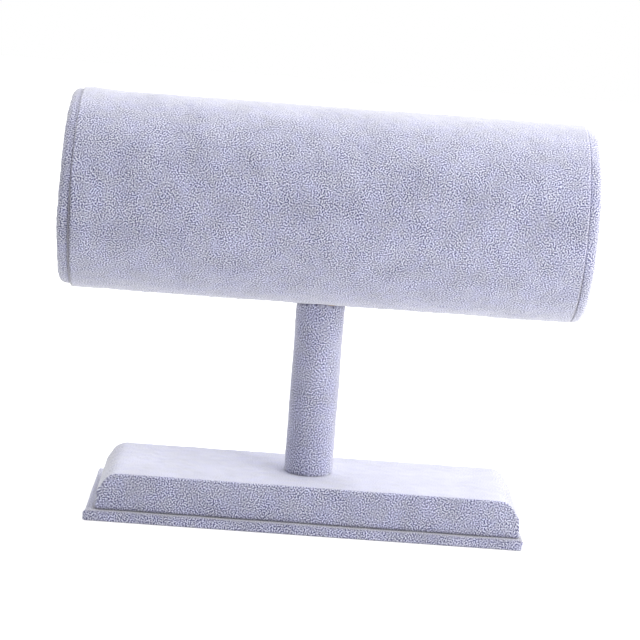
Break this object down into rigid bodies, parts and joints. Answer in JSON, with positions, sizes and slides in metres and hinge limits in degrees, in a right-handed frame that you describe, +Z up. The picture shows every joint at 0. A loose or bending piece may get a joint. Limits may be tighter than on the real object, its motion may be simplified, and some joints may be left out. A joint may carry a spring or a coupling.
{
  "type": "headband display stand",
  "caption": "Free-standing velvet-covered stand that holds headbands round a thick horizontal roll, carried by a round post on a low base with rounded ends.",
  "frame": {"origin": "on the floor, straight under the middle of the post", "axes": "+X along the roll, +Y from the front to the back, +Z up"},
  "size_m": [0.302, 0.1144, 0.2432],
  "materials": {
    "velvet": "pale lavender-grey short-pile velvet",
    "board": "raw fibreboard",
    "dowel": "sanded beech",
    "tube": "spirally wound grey-brown board",
    "foam": "open foam",
    "liner": "matt non-woven sheet",
    "screw": "zinc-plated"
  },
  "bodies": {
    "root": {"base_liner": "liner", "plinth_cover": "velvet", "plinth_board": "board", "block_cover": "velvet", "block_board": "board", "base_screw": "screw", "post_core": "dowel", "post_sleeve": "velvet", "roll_cover": "velvet", "roll_tube": "tube", "roll_saddle": "dowel", "roll_washer": "screw", "roll_screw": "screw", "end_plug_left": "board", "end_plug_right": "board", "end_pad_left": "foam", "end_pad_right": "foam", "end_cover_left": "velvet", "end_cover_right": "velvet"}
  },
  "joints": []
}
